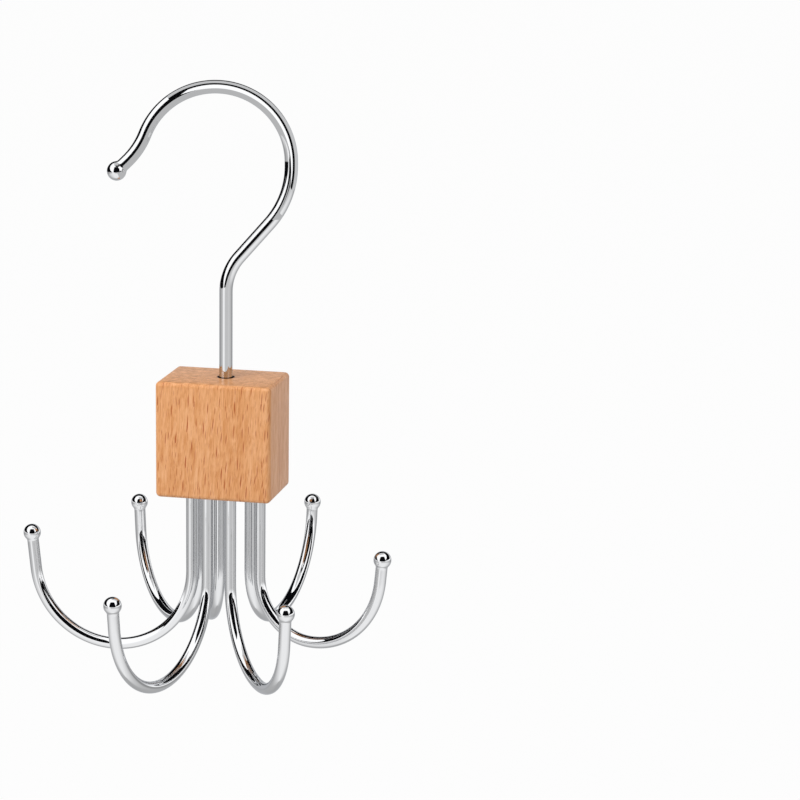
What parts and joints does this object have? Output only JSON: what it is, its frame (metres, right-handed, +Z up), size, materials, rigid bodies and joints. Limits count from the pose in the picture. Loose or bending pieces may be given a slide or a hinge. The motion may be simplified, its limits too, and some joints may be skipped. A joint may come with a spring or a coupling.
{
  "type": "belt hanger",
  "caption": "Rotating belt hanger: a ball-ended chrome swivel hook over a beech block with upturned, ball-tipped wire arms below.",
  "frame": {"origin": "top of the hook's inside, where the rail carries the hanger", "axes": "+Z up along the swivel stem, +X to the right along the block's wide front face, +Y to the back"},
  "size_m": [0.1344, 0.1357, 0.2008],
  "materials": {
    "chrome_hook": "polished",
    "chrome_arms": "polished",
    "beech": "satin lacquer over straight grain",
    "steel": "zinc plated",
    "nylon": "natural"
  },
  "bodies": {
    "hook_side": {"hook_wire": "chrome_hook", "hook_ball": "chrome_hook", "steel_washer": "steel", "lock_nut": "steel"},
    "block_side": {"wood_block": "beech", "thrust_washer": "nylon", "arm_left": "chrome_arms", "arm_left_ball": "chrome_arms", "arm_front_left": "chrome_arms", "arm_front_left_ball": "chrome_arms", "arm_front_right": "chrome_arms", "arm_front_right_ball": "chrome_arms", "arm_right": "chrome_arms", "arm_right_ball": "chrome_arms", "arm_back_right": "chrome_arms", "arm_back_right_ball": "chrome_arms", "arm_back": "chrome_arms", "arm_back_ball": "chrome_arms", "arm_back_left": "chrome_arms", "arm_back_left_ball": "chrome_arms"}
  },
  "joints": [
    {"name": "block_swivel", "type": "hinge", "parent": "hook_side", "child": "block_side", "pos_m": [0.00336, 0.0009, -0.09619], "axis": [0, 0, 1], "continuous": true}
  ]
}
